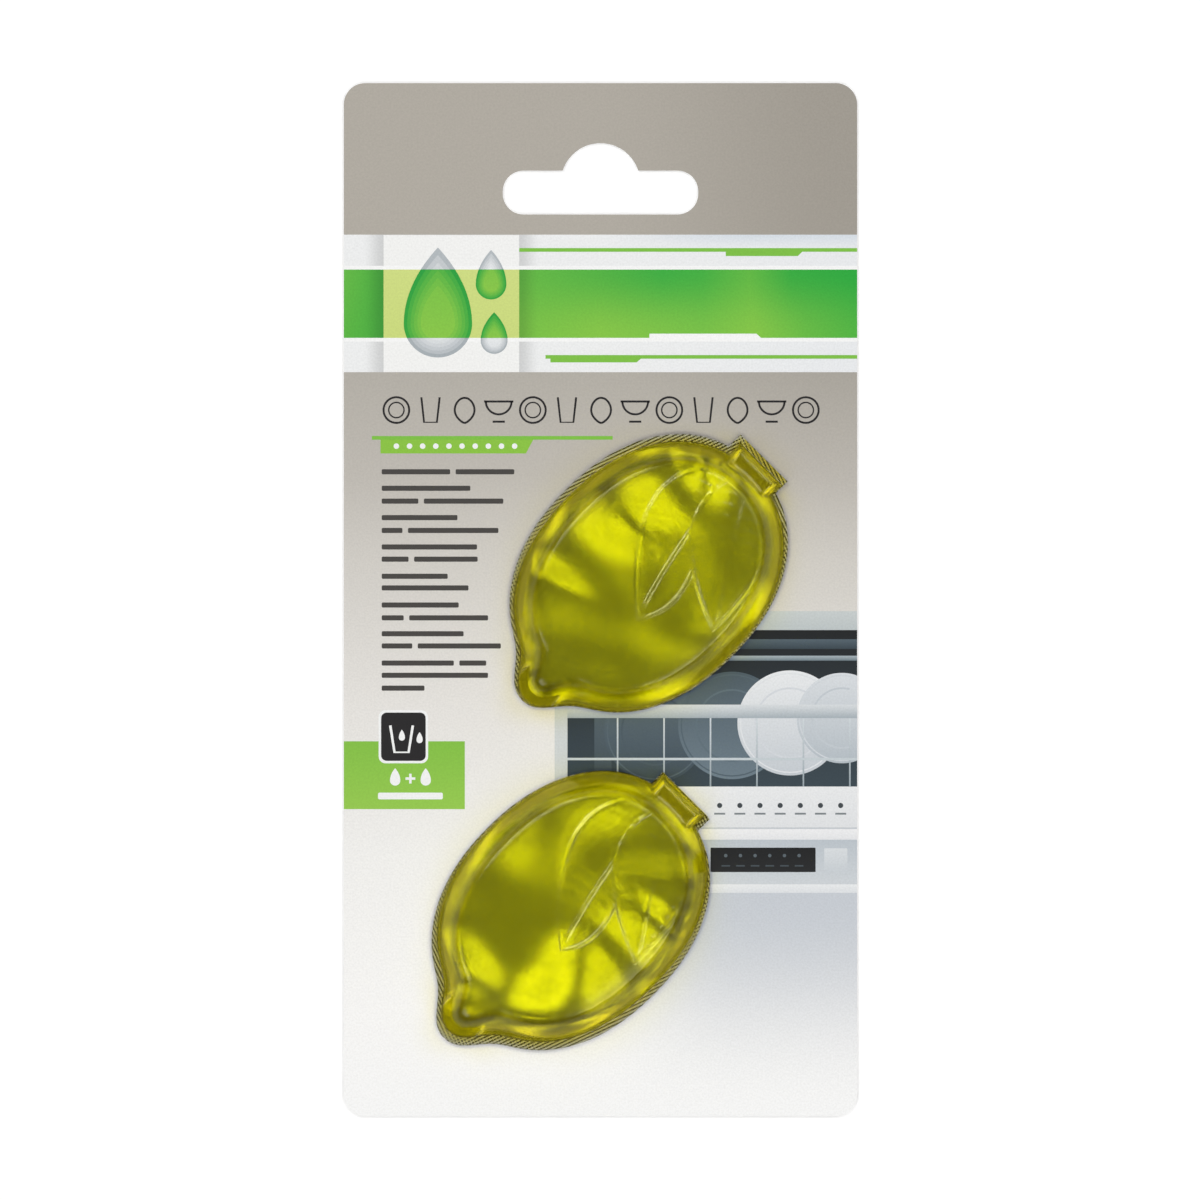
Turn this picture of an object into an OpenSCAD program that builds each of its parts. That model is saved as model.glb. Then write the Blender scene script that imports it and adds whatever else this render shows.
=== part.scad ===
// Hanging card with two lemon-shaped freshener capsules.
// The pack lies on the plain back of its card, with the hang slot towards +Y.

/* [Card] */
// Width of the card
card_w = 84; // [80:0.5:110]
// Height of the card
card_h = 169; // [160:0.5:200]
// Thickness of the board
card_t = 0.6; // [0.3:0.05:1.2]
// Radius of the card's corners
card_corner_r = 3.5; // [1:0.1:8]

/* [Hang slot] */
// Width of the slot from end to end
slot_w = 32; // [28:0.5:40]
// Height of the slot's straight part
slot_h = 7.2; // [7:0.1:9]
// Radius of the slot's corners
slot_corner_r = 3.4; // [1:0.1:3.5]
// Radius of the hook's arch over the slot
arch_r = 6.5; // [4:0.1:9]
// Depth of the arch's centre below the slot's upper edge
arch_drop = 2; // [0:0.1:4]
// Board left between the arch and the card's upper edge
arch_land = 9.8; // [6:0.1:16]

/* [Capsule outline] */
// Half length of the lemon's body, without stem and nipple
body_a = 23.8; // [20:0.1:30]
// Half width of the lemon's body
body_b = 18.4; // [15:0.1:22]
// Fullness of the outline: 2 is an ellipse, more is squarer
fullness = 2.2; // [2:0.05:2.8]
// Length of the nipple past the body
nipple_l = 4.7; // [2:0.1:6]
// Half width of the nipple
nipple_w = 4.2; // [2.5:0.1:5]
// Reach of the stem's shelf past the body
stem_l = 2; // [0.5:0.1:4]
// Half width of the stem's shelf
stem_w = 4.6; // [3:0.1:7]

/* [Capsule shell] */
// Thickness of the thermoformed sheet
sheet_t = 0.4; // [0.25:0.05:0.7]
// Height of the shoulder that the side wall rounds into
shoulder_h = 6.4; // [4:0.1:9]
// Width of the side wall, from its foot to the shoulder
shoulder_w = 3.5; // [2:0.1:5]
// Fullness of the side wall: 2 is a quarter ellipse, less is a leaning wall with a crisper shoulder
shoulder_fullness = 1.5; // [1.3:0.05:2.2]
// Rise of the crown above the shoulder
crown_h = 1.1; // [0:0.1:3]
// Height of the stem's shelf
stem_h = 4; // [2:0.1:5]
// Way in from the outline over which the stem's shelf runs into the body
shelf_l = 1.8; // [1:0.1:2.5]
// Width of the heat-sealed flange
flange_w = 0.85; // [0.8:0.05:3]

/* [Leaves] */
// Length of the broad leaf
broad_leaf_l = 29.7; // [20:0.1:34]
// Width of the broad leaf on its outer side
broad_leaf_outer = 10.3; // [5:0.1:12]
// Width of the broad leaf on its inner side
broad_leaf_inner = 3.4; // [2:0.1:8]
// Direction of the broad leaf from the stem
broad_leaf_turn = 187; // [170:1:205]
// Length of the side leaf
side_leaf_l = 26; // [18:0.5:30]
// Width of the side leaf on its outer side
side_leaf_outer = 7.5; // [4:0.1:10]
// Width of the side leaf on its inner side
side_leaf_inner = 6.2; // [3:0.1:8]
// Direction of the side leaf from the stem
side_leaf_turn = 212; // [205:1:235]
// Distance of the leaves' common base from the lemon's centre
leaf_base = 22.9; // [15:0.1:24]
// Height of the embossed leaves
leaf_h = 0.25; // [0.1:0.05:0.5]
// Width of the leaves' sloping edge
leaf_edge = 0.9; // [0.4:0.1:2]
// Rise of the midrib over its leaf
rib_h = 0.1; // [0.05:0.05:0.4]
// Half width of the midrib
rib_w = 0.8; // [0.4:0.1:2]

/* [Fill and lid] */
// Clearance between the fragrance gel and the shell
gel_gap = 0.1; // [0.02:0.01:0.3]
// Thickness of the membrane that lets the scent through
membrane_t = 0.12; // [0.05:0.01:0.4]
// Thickness of the aluminium peel-off lid
foil_t = 0.12; // [0.05:0.01:0.4]

/* [Glue] */
// Diameter of each glue dot
dot_d = 11; // [5:0.5:16]
// Thickness of the glue dots
dot_t = 0.5; // [0.2:0.05:1.5]
// Distance between the centres of a capsule's two dots
dot_pitch = 20; // [17:0.5:26]

/* [Placing] */
// Angle of the capsules, stem to the upper right
capsule_turn = 45; // [30:1:60]
// Upper capsule, place across the card
upper_x = 7.9; // [-8:0.1:9]
// Lower capsule, place across the card
lower_x = -4.6; // [-9:0.1:8]
// Distance from the card's lower edge to the lower capsule's centre
lower_margin = 34.3; // [30.5:0.1:38]
// Distance up the card between the capsules' centres
capsule_pitch = 54; // [50:0.1:60]
// Upper capsule, how far its die-cut lid is off centre along the lemon
upper_cut_u = 0.35; // [-0.7:0.05:0.7]
// Upper capsule, how far its die-cut lid is off centre across the lemon
upper_cut_v = 0.35; // [-0.35:0.05:0.35]
// Lower capsule, how far its die-cut lid is off centre along the lemon
lower_cut_u = -0.7; // [-0.7:0.05:0.7]
// Lower capsule, how far its die-cut lid is off centre across the lemon
lower_cut_v = -0.35; // [-0.35:0.05:0.35]

/* [Resolution] */
// Points round a capsule
round_steps = 88; // [48:4:96]
// Rings of points from the shoulder to the middle on the outside
crown_steps = 15; // [8:1:20]
// Rings of points from the shoulder to the middle on the inside
inner_steps = 5; // [3:1:10]

/* [Hidden] */

// The levels of the stack, from the card's face up
foil_z = card_t + dot_t;
membrane_z = foil_z + foil_t;
flange_z = membrane_z + membrane_t;

// The slot's place, measured down from the card's upper edge
slot_top_y = card_h / 2 - arch_land - (arch_r - arch_drop);
slot_y = slot_top_y - slot_h / 2;

// Steps up the side wall, on the outside and on the coarser inside
wall_steps = 6;
inner_wall_steps = 4;
// Steps across half of the stem, and how strongly the other points crowd towards the nipple
stem_steps = 4;
crowding = 0.16;
// How far in from its edge the stem's shelf reaches its full height
shelf_rise = 1;
// How blunt the nipple is, and how far in from the outline it would be gone
nipple_bluntness = 2.3;
nipple_root = 14;
// How much the nipple narrows for each step in from the outline
nipple_narrowing = 0.6;
// A leaf's width grows as a power of the way along it, then falls in line with the way left. The broad leaf's
// inner side stays narrow under the side leaf and is full near its tip.
leaf_power = 0.6;
tail_power = 3;
// How far each midrib bows out from its chord, as a share of the leaf's outer width
broad_bow = 0.2;
side_bow = 0.06;
// How much of the relief reaches the inside of the sheet
inside_relief = 0.4;
// How much higher the side leaf stands, which lies over the broad one
overlap_lift = 1.4;
// How much of the crown's rise is over before the outline
crown_spread = 1.15;

function smooth(x) = let (t = min(max(x, 0), 1)) t * t * (3 - 2 * t);

// Lemon outline, seen from its centre, grown outwards by g. The stem is at 0 degrees and the nipple at 180.
function body_reach(a, g) = pow(
    pow(abs(cos(a)) / (body_a + g), fullness) + pow(abs(sin(a)) / (body_b + g), fullness),
    -1 / fullness
);
function nipple_reach(a, g, across) = cos(a) >= 0 ? 0 :
    nipple_l * smooth(1 + g / nipple_root)
    * exp(-pow(abs(across) / (nipple_w + g * nipple_narrowing), nipple_bluntness));

// Directions of the stem's corner and of its foot, where its side meets the body
function stem_corner(g) = atan2(stem_w + g, body_a + stem_l + g);
function stem_foot(g) =
    let (side = stem_w + g)
    atan2(side, (body_a + g) * pow(1 - pow(side / (body_b + g), fullness), 1 / fullness));

// Points round a capsule: the first few of each half lie across the stem, and the others crowd to the nipple
function half_index(i) = i <= round_steps / 2 ? i : round_steps - i;
function on_stem(i) = half_index(i) <= stem_steps;
function crowded(t) = t + crowding * sin(180 * t);
function direction(i, g) =
    let (
        j = half_index(i),
        foot = stem_foot(g),
        way = (j - stem_steps - 1) / (round_steps / 2 - stem_steps - 1)
    )
    (i == j ? 1 : -1) * (on_stem(i) ? stem_corner(g) * j / stem_steps : foot + (180 - foot) * crowded(way));

// Point i of the outline grown by g, and how far the stem carries it out past the body, as a share
function rim_point(i, g, stem_share = 1) =
    let (
        a = direction(i, max(g, -sheet_t - gel_gap - shelf_rise)),
        body = body_reach(a, g),
        past = on_stem(i) ? stem_share * ((body_a + stem_l + g) / cos(a) - body) :
            nipple_reach(a, g, body * sin(a))
    )
    (body + past) * [cos(a), sin(a)];
function outline(g, shift) = [for (i = [0:round_steps - 1]) rim_point(i, g) + shift];

// Embossed leaf, from a base point on the lemon's axis: length, direction and width on either side
function leaf_peak(power) = pow(power / (power + 1), power) / (power + 1);
function leaf_width(t, power) = t <= 0 || t >= 1 ? 0 : pow(t, power) * (1 - t) / leaf_peak(power);
function leaf_relief(p, length, turn, outer, inner, inner_power, bow) =
    let (
        q = p - [leaf_base, 0],
        along = (q * [cos(turn), sin(turn)]) / length,
        side = q * [sin(turn), -cos(turn)],
        outer_side = outer * leaf_width(along, leaf_power),
        inside = min(outer_side - side, side + inner * leaf_width(along, inner_power)),
        off_rib = (side - bow * outer_side) / rib_w
    )
    smooth(inside / leaf_edge) * (leaf_h + rib_h * exp(-off_rib * off_rib));
function relief(p) = max(
    leaf_relief(p, broad_leaf_l, broad_leaf_turn, broad_leaf_outer, broad_leaf_inner, tail_power, broad_bow),
    overlap_lift
    * leaf_relief(p, side_leaf_l, side_leaf_turn, side_leaf_outer, side_leaf_inner, leaf_power, side_bow)
);

// Height of the dome over the flange at point p of ring d, the way in from the outline, in a skin that lies
// inset inside the outer one. past is how far the stem carries the point out past the body.
function quarter(x, full = 2) = let (t = min(max(x, 0), 1)) pow(1 - pow(1 - t, full), 1 / full);
function shelf_depth(p, inset) = min(body_a + stem_l - inset - p[0], stem_w - inset - abs(p[1]));
function wall_height(p, d, inset, past) = max(
    shoulder_h * quarter((d - past) / shoulder_w, shoulder_fullness),
    stem_h * quarter(shelf_depth(p, inset) / shelf_rise)
);
function crown(p) =
    let (r = norm([p[0] / body_a, p[1] / body_b])) crown_h * smooth(crown_spread * (1 - r * r));

// One skin of the dome as rings of points, from the outline inwards. inset is how far it lies inside the
// outer skin, sideways and downwards. steps and rings say how finely its wall and its crown are divided.
function wall_d(k, steps) = shoulder_w * (1 - cos(90 * k / steps));
function wall_ring(inset, base, d) = [
    for (i = [0:round_steps - 1])
    let (
        g = -inset - d,
        p = rim_point(i, g, 1 - smooth(d / shelf_l)),
        past = on_stem(i) ? norm(p) - body_reach(atan2(p[1], p[0]), g) : 0
    )
    [p[0], p[1], base + (d == 0 ? 0 : wall_height(p, d, inset, past) + crown(p))]
];
function crown_point(p, base, share) = [p[0], p[1], base + shoulder_h + crown(p) + share * relief(p)];
function crown_ring(inset, base, share, scale) = [
    for (i = [0:round_steps - 1])
    crown_point(scale * rim_point(i, -inset - shoulder_w, 0), base, share)
];
function dome_rings(inset, foot, base, share, steps, rings) = concat(
    [wall_ring(inset, foot, 0)],
    [for (k = [1:steps]) wall_ring(inset, base, wall_d(k, steps))],
    [for (k = [1:rings - 1]) crown_ring(inset, base, share, 1 - k / rings)]
);
function flat_ring(points, z) = [for (p = points) [p[0], p[1], z]];
function backwards(list) = [for (i = [len(list) - 1:-1:0]) list[i]];

// Closed solid over a stack of rings, from a first to a last middle point
module skin(first, rings, last) {
    n = len(rings[0]);
    m = len(rings);
    function at(r, i) = 1 + r * n + i % n;
    points = concat([first], [for (r = rings) each r], [last]);
    faces = concat(
        [for (i = [0:n - 1]) [0, at(0, i), at(0, i + 1)]],
        [for (r = [0:m - 2], i = [0:n - 1]) each [
            [at(r, i), at(r + 1, i), at(r + 1, i + 1)],
            [at(r, i), at(r + 1, i + 1), at(r, i + 1)]
        ]],
        [for (i = [0:n - 1]) [at(m - 1, i), 1 + m * n, at(m - 1, i + 1)]]
    );
    polyhedron(points, faces);
}

// Thermoformed clear sheet: domed lemon with its nipple, stem and leaves, and the flange that is sealed to the lid
module shell(cut) {
    top = flange_z + sheet_t;
    edge = outline(flange_w, cut);
    outside = dome_rings(0, top, top, 1, wall_steps, crown_steps);
    inside = dome_rings(sheet_t, flange_z, flange_z, inside_relief, inner_wall_steps, inner_steps);
    rings = concat(
        backwards(inside),
        [flat_ring(edge, flange_z), flat_ring(edge, top)],
        outside
    );
    color([0.86, 0.9, 0.62, 0.55])
        skin(crown_point([0, 0], flange_z, inside_relief), rings, crown_point([0, 0], top, 1));
}

// Fragrance gel that fills the dome and rests on the membrane
module gel() {
    inset = sheet_t + gel_gap;
    rings = dome_rings(inset, flange_z, flange_z - gel_gap, inside_relief, inner_wall_steps, inner_steps);
    color([0.82, 0.84, 0.08])
        skin([0, 0, flange_z], rings, crown_point([0, 0], flange_z - gel_gap, inside_relief));
}

// Sheet cut in one go with the flange
module cut_sheet(cut, z, thickness)
    translate([0, 0, z]) linear_extrude(thickness) polygon(outline(flange_w, cut));

module membrane(cut) color([0.95, 0.95, 0.92]) cut_sheet(cut, membrane_z, membrane_t);
module foil(cut) color([0.72, 0.73, 0.72]) cut_sheet(cut, foil_z, foil_t);

// Two removable glue dots between the lid and the card
module glue_dots()
    color([0.9, 0.88, 0.78])
    for (side = [-1, 1])
    translate([side * dot_pitch / 2, 0, card_t])
    cylinder(d = dot_d, h = dot_t, $fn = 48);

module card_outline() {
    square([card_w - 2 * card_corner_r, card_h], center = true);
    square([card_w, card_h - 2 * card_corner_r], center = true);
    for (x = [-1, 1], y = [-1, 1])
        translate([x * (card_w / 2 - card_corner_r), y * (card_h / 2 - card_corner_r)])
        circle(card_corner_r, $fn = 48);
}

module hang_slot() {
    translate([0, slot_y]) {
        square([slot_w - 2 * slot_corner_r, slot_h], center = true);
        square([slot_w, slot_h - 2 * slot_corner_r], center = true);
        for (x = [-1, 1], y = [-1, 1])
            translate([x * (slot_w / 2 - slot_corner_r), y * (slot_h / 2 - slot_corner_r)])
            circle(slot_corner_r, $fn = 48);
    }
    intersection() {
        translate([0, slot_top_y - arch_drop]) circle(arch_r, $fn = 96);
        translate([0, slot_y + card_h / 2]) square([slot_w, card_h], center = true);
    }
}

// Printed board, die-cut with its hang slot
module backing_card()
    color([0.78, 0.77, 0.73])
    linear_extrude(card_t)
    difference() {
        card_outline();
        hang_slot();
    }

lower_y = lower_margin - card_h / 2;
module on_upper() translate([upper_x, lower_y + capsule_pitch]) rotate(capsule_turn) children();
module on_lower() translate([lower_x, lower_y]) rotate(capsule_turn) children();
upper_cut = [upper_cut_u, upper_cut_v];
lower_cut = [lower_cut_u, lower_cut_v];

backing_card();
on_upper() shell(upper_cut);  // upper_shell
on_upper() gel();  // upper_gel
on_upper() membrane(upper_cut);  // upper_membrane
on_upper() foil(upper_cut);  // upper_foil
on_upper() glue_dots();  // upper_glue_dots
on_lower() shell(lower_cut);  // lower_shell
on_lower() gel();  // lower_gel
on_lower() membrane(lower_cut);  // lower_membrane
on_lower() foil(lower_cut);  // lower_foil
on_lower() glue_dots();  // lower_glue_dots
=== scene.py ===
"""Carded dishwasher freshener: two clear lemon capsules of yellow scented gel, glued on a printed hang card.

Lengths are in metres and the pack lies on its back, with the card's hang slot towards +Y and its print up.
"""

import math

import bmesh
import bpy
import numpy as np
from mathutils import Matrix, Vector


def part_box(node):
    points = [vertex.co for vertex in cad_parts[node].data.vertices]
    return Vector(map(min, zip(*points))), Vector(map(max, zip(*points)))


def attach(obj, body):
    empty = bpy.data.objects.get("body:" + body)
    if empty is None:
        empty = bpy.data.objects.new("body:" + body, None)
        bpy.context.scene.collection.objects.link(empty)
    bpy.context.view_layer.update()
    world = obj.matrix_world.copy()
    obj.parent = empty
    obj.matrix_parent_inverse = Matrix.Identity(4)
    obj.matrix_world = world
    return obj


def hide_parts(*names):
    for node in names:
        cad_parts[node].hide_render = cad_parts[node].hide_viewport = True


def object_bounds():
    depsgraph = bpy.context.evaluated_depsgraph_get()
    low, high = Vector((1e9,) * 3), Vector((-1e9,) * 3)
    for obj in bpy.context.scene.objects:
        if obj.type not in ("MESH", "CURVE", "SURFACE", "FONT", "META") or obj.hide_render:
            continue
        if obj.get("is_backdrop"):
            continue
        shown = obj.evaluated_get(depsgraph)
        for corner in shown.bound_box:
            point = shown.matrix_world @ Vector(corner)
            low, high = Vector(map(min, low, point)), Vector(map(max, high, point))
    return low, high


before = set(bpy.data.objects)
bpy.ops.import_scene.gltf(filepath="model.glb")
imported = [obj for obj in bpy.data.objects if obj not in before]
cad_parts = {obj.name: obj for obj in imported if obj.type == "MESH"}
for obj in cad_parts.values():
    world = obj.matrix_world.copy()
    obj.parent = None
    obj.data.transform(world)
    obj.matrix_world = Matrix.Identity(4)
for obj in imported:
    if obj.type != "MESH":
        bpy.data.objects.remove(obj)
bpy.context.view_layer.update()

# The studio: a white table, a soft lamp on each side and a long lens that looks straight down on the card.
# The lens is long because the photograph shows no perspective, and its frame is as wide as the photograph's.
MM = 0.001
FRAME_W = 196.44 * MM
LENS = 250.0
SENSOR = 36.0
CAMERA_SHIFT = 0.08 * MM


def to_linear(code):
    """Turns an sRGB hex code into linear colour with full alpha."""
    parts = [int(code[i:i + 2], 16) / 255 for i in (0, 2, 4)]
    return [c / 12.92 if c <= 0.04045 else ((c + 0.055) / 1.055) ** 2.4 for c in parts] + [1.0]


def add(tree, kind, links=None, stops=(), **settings):
    """Adds a node of a kind, with its settings, its sockets' values or links, and a ramp's stops."""
    node = tree.nodes.new(kind)
    for name, value in settings.items():
        setattr(node, name, value)
    for socket, value in (links or {}).items():
        if isinstance(value, bpy.types.NodeSocket):
            tree.links.new(value, node.inputs[socket])
        else:
            node.inputs[socket].default_value = value
    for n, (place, code) in enumerate(stops):
        point = node.color_ramp.elements[n] if n < 2 else node.color_ramp.elements.new(1.0)
        point.position = place
        point.color = to_linear(code)
    return node


def new_material(name):
    """Starts an empty material."""
    material = bpy.data.materials.new(name)
    material.use_nodes = True
    material.node_tree.nodes.clear()
    return material


scene = bpy.context.scene
scene.view_settings.view_transform = "Standard"

camera_data = bpy.data.cameras.new("camera")
camera_data.lens = LENS
camera_data.sensor_width = SENSOR
camera_data.clip_start = 0.1
camera = bpy.data.objects.new("camera", camera_data)
camera.location = (-CAMERA_SHIFT, -CAMERA_SHIFT, FRAME_W * LENS / SENSOR)
scene.collection.objects.link(camera)
scene.camera = camera

# Four softboxes stand round the table at half height, and the room above the card stays dim.
LAMP_REACH = 0.72
LAMP_HEIGHT = 0.92
LAMP_SIDE = 0.62
for name, turn, power in (("upper_left_lamp", 128, 4.75), ("upper_right_lamp", 38, 3.8),
                          ("lower_left_lamp", 222, 3.9), ("lower_right_lamp", 308, 3.9)):
    lamp_data = bpy.data.lights.new(name, "AREA")
    lamp_data.size = LAMP_SIDE
    lamp_data.energy = power
    lamp = bpy.data.objects.new(name, lamp_data)
    lamp.location = (LAMP_REACH * math.cos(math.radians(turn)), LAMP_REACH * math.sin(math.radians(turn)),
                     LAMP_HEIGHT)
    lamp.rotation_euler = (-lamp.location).to_track_quat("-Z", "Y").to_euler()
    lamp.visible_camera = False
    scene.collection.objects.link(lamp)

# The room is white to the eye. What metal and plastic mirror is its white walls below and its dim ceiling
# overhead. The two heights are where a mirrored ray starts to leave the walls and where it meets only
# ceiling.
ROOM_DIM = 0.06
WALL_END = 0.05
CEILING_START = 0.3
world = bpy.data.worlds.new("studio")
world.use_nodes = True
scene.world = world
tree = world.node_tree
tree.nodes.clear()
path = add(tree, "ShaderNodeLightPath")
sky = add(tree, "ShaderNodeTexCoord")
lift = add(tree, "ShaderNodeSeparateXYZ", {0: sky.outputs["Generated"]})
walls = add(tree, "ShaderNodeMapRange", {0: lift.outputs[2], 1: WALL_END, 2: CEILING_START, 3: 1.0,
                                         4: ROOM_DIM}, interpolation_type="SMOOTHSTEP")
mirrored = add(tree, "ShaderNodeMath", {0: path.outputs["Is Glossy Ray"],
                                        1: path.outputs["Is Transmission Ray"]}, operation="MAXIMUM")
strength = add(tree, "ShaderNodeMix", {0: mirrored.outputs[0], 2: ROOM_DIM, 3: walls.outputs[0]})
strength = add(tree, "ShaderNodeMix", {0: path.outputs["Is Camera Ray"], 2: strength.outputs[0], 3: 1.0})
room = add(tree, "ShaderNodeBackground", {"Color": to_linear("FFFFFF"), "Strength": strength.outputs[0]})
add(tree, "ShaderNodeOutputWorld", {"Surface": room.outputs[0]})

# The table top is white painted board. Matt paint keeps the pack's soft shadow, and a little glow, which only
# the eye and mirrors see, makes it as white as the room.
TABLE_SIDE = 6.0
TABLE_GLOW = 0.25
bpy.ops.object.select_all(action="DESELECT")
bpy.ops.mesh.primitive_plane_add(size=TABLE_SIDE, location=(0, 0, -0.02 * MM))
table = bpy.context.object
table.name = "table"
white_paint = new_material("white_table")
tree = white_paint.node_tree
path = add(tree, "ShaderNodeLightPath")
mirrored = add(tree, "ShaderNodeMath", {0: path.outputs["Is Glossy Ray"],
                                        1: path.outputs["Is Transmission Ray"]}, operation="MAXIMUM")
shown = add(tree, "ShaderNodeMath", {0: path.outputs["Is Camera Ray"], 1: mirrored.outputs[0]},
            operation="MAXIMUM")
matt = add(tree, "ShaderNodeBsdfDiffuse", {"Color": to_linear("EFEFEF")})
lift = add(tree, "ShaderNodeEmission", {"Color": to_linear("FFFFFF"), "Strength": TABLE_GLOW})
both = add(tree, "ShaderNodeAddShader", {0: matt.outputs[0], 1: lift.outputs[0]})
pick = add(tree, "ShaderNodeMixShader", {0: shown.outputs[0], 1: matt.outputs[0], 2: both.outputs[0]})
add(tree, "ShaderNodeOutputMaterial", {"Surface": pick.outputs[0]})
table.data.materials.append(white_paint)
table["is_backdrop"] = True

# The backing card: solid bleached board, offset printed on its front and varnished, then die-cut.
# Its back and its cut edges are bare board. The print's fields and soft shades are in its material.
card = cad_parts["backing_card"]
CARD_HALF_W, CARD_HALF_H, CARD_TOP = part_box("backing_card")[1]
BANNER_TOP = 59.7 * MM
BANNER_LOW = 37.2 * MM
BAND_TOP = 54.0 * MM
BAND_LOW = 42.8 * MM
PANEL_LEFT = -35.5 * MM
PANEL_RIGHT = -13.3 * MM
PANEL_SHADE = 3.5 * MM
PICTURE_LOW = -47.5 * MM
VARNISH_GRAIN = 0.32
VARNISH_RELIEF = 0.012


def grain_bump(tree, size_mm, depth_mm):
    """Adds a fine noise relief of a grain size and depth, and returns the noise and its bump."""
    place = add(tree, "ShaderNodeTexCoord")
    noise = add(tree, "ShaderNodeTexNoise", {"Vector": place.outputs["Object"], "Scale": 1 / (size_mm * MM),
                                             "Detail": 2.0})
    bump = add(tree, "ShaderNodeBump", {"Height": noise.outputs[0], "Distance": depth_mm * MM, "Strength": 1.0})
    return noise, bump


def varnish(tree, colour):
    """Lays the varnish's satin sheen, faint mottle and fine relief over a printed colour."""
    noise, bump = grain_bump(tree, VARNISH_GRAIN, VARNISH_RELIEF)
    mottle = add(tree, "ShaderNodeMapRange", {0: noise.outputs[0], 1: 0.3, 2: 0.7, 3: 0.955, 4: 1.045})
    mottled = add(tree, "ShaderNodeMix", {0: 1.0, 6: colour, 7: mottle.outputs[0]}, data_type="RGBA",
                  blend_type="MULTIPLY")
    satin = add(tree, "ShaderNodeBsdfPrincipled", {"Base Color": mottled.outputs[2], "Roughness": 0.45,
                                                   "Normal": bump.outputs[0], "Specular IOR Level": 0.35})
    add(tree, "ShaderNodeOutputMaterial", {"Surface": satin.outputs[0]})


# Bleached board, offset printed and varnished: to the eye a satin face with soft grey fields and a green
# band. The mottle of the ink is finer than the render shows, so it is drawn about three times as coarse.
printed_board = new_material("printed_board")
tree = printed_board.node_tree
place = add(tree, "ShaderNodeTexCoord")
x, y, z = add(tree, "ShaderNodeSeparateXYZ", {0: place.outputs["Object"]}).outputs
across = add(tree, "ShaderNodeMapRange", {0: x, 1: -CARD_HALF_W, 2: CARD_HALF_W}).outputs[0]
down = add(tree, "ShaderNodeMapRange", {0: y, 1: CARD_HALF_H, 2: -CARD_HALF_H}).outputs[0]
field = add(tree, "ShaderNodeValToRGB", {0: down}, stops=[
    (0.0, "B3ADA3"), (0.145, "B4AEA4"), (0.28, "B6B1A8"), (0.38, "C2BDB5"), (0.46, "D4D0C9"), (0.6, "E9E6E1"),
    (0.75, "F6F5F2"), (0.9, "FDFCFA"), (1.0, "FDFDFC"),
])
banner = add(tree, "ShaderNodeValToRGB", {0: across}, stops=[(0.0, "F3F4F4"), (0.5, "F3F4F4"), (1.0, "EEF0F2")])
high_tone = add(tree, "ShaderNodeValToRGB", {0: across}, stops=[
    (0.0, "62BC3F"), (0.08, "41AF38"), (0.36, "62BC3F"), (0.5, "4FB53C"), (0.62, "36B03B"), (0.70, "3DB23B"),
    (0.79, "5FBC3D"), (0.87, "2DAE39"), (1.0, "1DAC38"),
])
low_tone = add(tree, "ShaderNodeValToRGB", {0: across}, stops=[
    (0.0, "58B83C"), (0.08, "41AF38"), (0.36, "7AC540"), (0.5, "86C941"), (0.62, "7EC641"), (0.70, "78C441"),
    (0.80, "86CA41"), (0.90, "66BE3E"), (1.0, "4DB73B"),
])
fade = add(tree, "ShaderNodeMapRange", {0: y, 1: BAND_TOP, 2: BAND_LOW}, interpolation_type="SMOOTHSTEP")
band = add(tree, "ShaderNodeMix", {0: fade.outputs[0], 6: high_tone.outputs[0], 7: low_tone.outputs[0]},
           data_type="RGBA")
in_banner, in_band = (
    add(tree, "ShaderNodeMath", {0: y, 1: (low + top) / 2, 2: (top - low) / 2}, operation="COMPARE").outputs[0]
    for low, top in ((BANNER_LOW, BANNER_TOP), (BAND_LOW, BAND_TOP))
)
under_picture = add(tree, "ShaderNodeMath", {0: y, 1: PICTURE_LOW}, operation="LESS_THAN").outputs[0]
from_panel = add(tree, "ShaderNodeMath", {0: x, 1: (PANEL_LEFT + PANEL_RIGHT) / 2}, operation="SUBTRACT")
from_panel = add(tree, "ShaderNodeMath", {0: from_panel.outputs[0]}, operation="ABSOLUTE").outputs[0]
panel_edge = (PANEL_RIGHT - PANEL_LEFT) / 2

# Each soft shade is strong where both of its changes are, and stays in its own part of the card: a value,
# where it starts and ends to change, and the shade there.
shades = []
for part, *changes in (
    (1.0, (across, 0.45, 1.0, 0.0, 0.34), (down, 0.1, 0.5, 1.0, 0.0)),
    (under_picture, (x, -8.0 * MM, 22.0 * MM, 0.0, 1.0), (y, -84.0 * MM, -48.0 * MM, 0.0, 1.0)),
    (in_banner, (y, 57.0 * MM, BANNER_TOP, 0.0, 1.0), (across, 0.45, 0.8, 0.0, 1.0)),
    (in_banner, (from_panel, panel_edge, panel_edge + PANEL_SHADE, 0.26, 0.0)),
):
    for change in changes:
        step = add(tree, "ShaderNodeMapRange", dict(enumerate(change)), interpolation_type="SMOOTHSTEP")
        part = add(tree, "ShaderNodeMath", {0: part, 1: step.outputs[0]}, operation="MULTIPLY").outputs[0]
    shades.append(part)
right_shade, front_shade, cool_shade, panel_shade = shades
bare = add(tree, "ShaderNodeMath", {0: z, 1: CARD_TOP - 0.02 * MM}, operation="LESS_THAN").outputs[0]
colour = field.outputs[0]
for share, tone in (
    (right_shade, to_linear("7A7369")), (front_shade, to_linear("CBD0D7")), (in_banner, banner.outputs[0]),
    (cool_shade, to_linear("DDE4EB")), (in_band, band.outputs[2]), (panel_shade, to_linear("000000")),
    (bare, to_linear("EDEBE6")),
):
    colour = add(tree, "ShaderNodeMix", {0: share, 6: colour, 7: tone}, data_type="RGBA").outputs[2]
varnish(tree, colour)
card.data.materials.clear()
card.data.materials.append(printed_board)

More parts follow.
